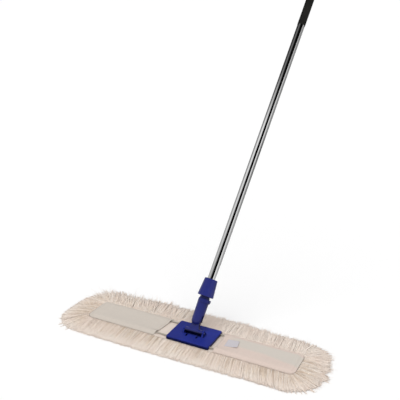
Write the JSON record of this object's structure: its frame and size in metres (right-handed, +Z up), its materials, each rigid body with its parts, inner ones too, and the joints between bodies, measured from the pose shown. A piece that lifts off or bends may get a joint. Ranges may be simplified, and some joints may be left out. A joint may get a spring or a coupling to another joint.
{
  "type": "flat string mop",
  "caption": "Flat sweeping mop: cotton yarn head pocketed over a folding wire frame, swivel centre plate, twist-lock socket and long tube handle.",
  "frame": {"origin": "on the floor, straight below the swivel barrel at the middle of the centre plate", "axes": "+X along the head towards its right end, +Y away from the user's side of the head (the handle leans back this way), +Z up"},
  "size_m": [0.769, 0.7375, 0.9059],
  "materials": {
    "blue_plastic": "gloss",
    "chromed_tube": "polished",
    "frame_wire": "satin",
    "steel_fittings": "satin",
    "black_grip": "satin",
    "cotton_canvas": "matte",
    "cotton_yarn": "matte"
  },
  "bodies": {
    "frame": {"centre_plate": "blue_plastic", "keeper_plate": "blue_plastic", "keeper_screws": "steel_fittings", "tilt_axle": "steel_fittings", "canvas_centre": "cotton_canvas", "yarn_rows_centre": "cotton_yarn", "fringe_centre": "cotton_yarn"},
    "wing_left": {"wing_wire_left": "frame_wire", "canvas_left": "cotton_canvas", "pocket_left": "cotton_canvas", "yarn_rows_left": "cotton_yarn", "fringe_left": "cotton_yarn"},
    "wing_right": {"wing_wire_right": "frame_wire", "canvas_right": "cotton_canvas", "pocket_right": "cotton_canvas", "yarn_rows_right": "cotton_yarn", "fringe_right": "cotton_yarn"},
    "swivel": {"swivel_barrel": "blue_plastic"},
    "socket": {"socket_neck": "blue_plastic", "pivot_pin": "steel_fittings"},
    "clamp": {"collar_nut": "blue_plastic"},
    "handle": {"handle_tube": "chromed_tube", "hand_grip": "black_grip", "hanging_cap": "black_grip"}
  },
  "joints": [
    {"name": "tilt", "type": "hinge", "parent": "frame", "child": "swivel", "pos_m": [0, 0, 0.0254], "axis": [1, 0, 0], "range_deg": [-35, 105]},
    {"name": "lean", "type": "hinge", "parent": "swivel", "child": "socket", "pos_m": [0, 0.01721, 0.04997], "axis": [0, 0.8192, -0.5736], "range_deg": [-75, 65]},
    {"name": "clamp_turn", "type": "hinge", "parent": "socket", "child": "clamp", "pos_m": [0, 0.01721, 0.04997], "axis": [0.0872, 0.5714, 0.816], "range_deg": [0, 120]},
    {"name": "handle_slide", "type": "slide", "parent": "socket", "child": "handle", "axis": [0.0872, 0.5714, 0.816], "range_m": [0, 0.06]},
    {"name": "wing_left_fold", "type": "hinge", "parent": "frame", "child": "wing_left", "pos_m": [-0.048, 0, 0.0123], "axis": [0, -1, 0], "range_deg": [0, 80], "deforming": ["canvas_centre", "yarn_rows_centre", "fringe_centre"]},
    {"name": "wing_right_fold", "type": "hinge", "parent": "frame", "child": "wing_right", "pos_m": [0.048, 0, 0.0123], "axis": [0, 1, 0], "range_deg": [0, 80], "deforming": ["canvas_centre", "yarn_rows_centre", "fringe_centre"]}
  ]
}
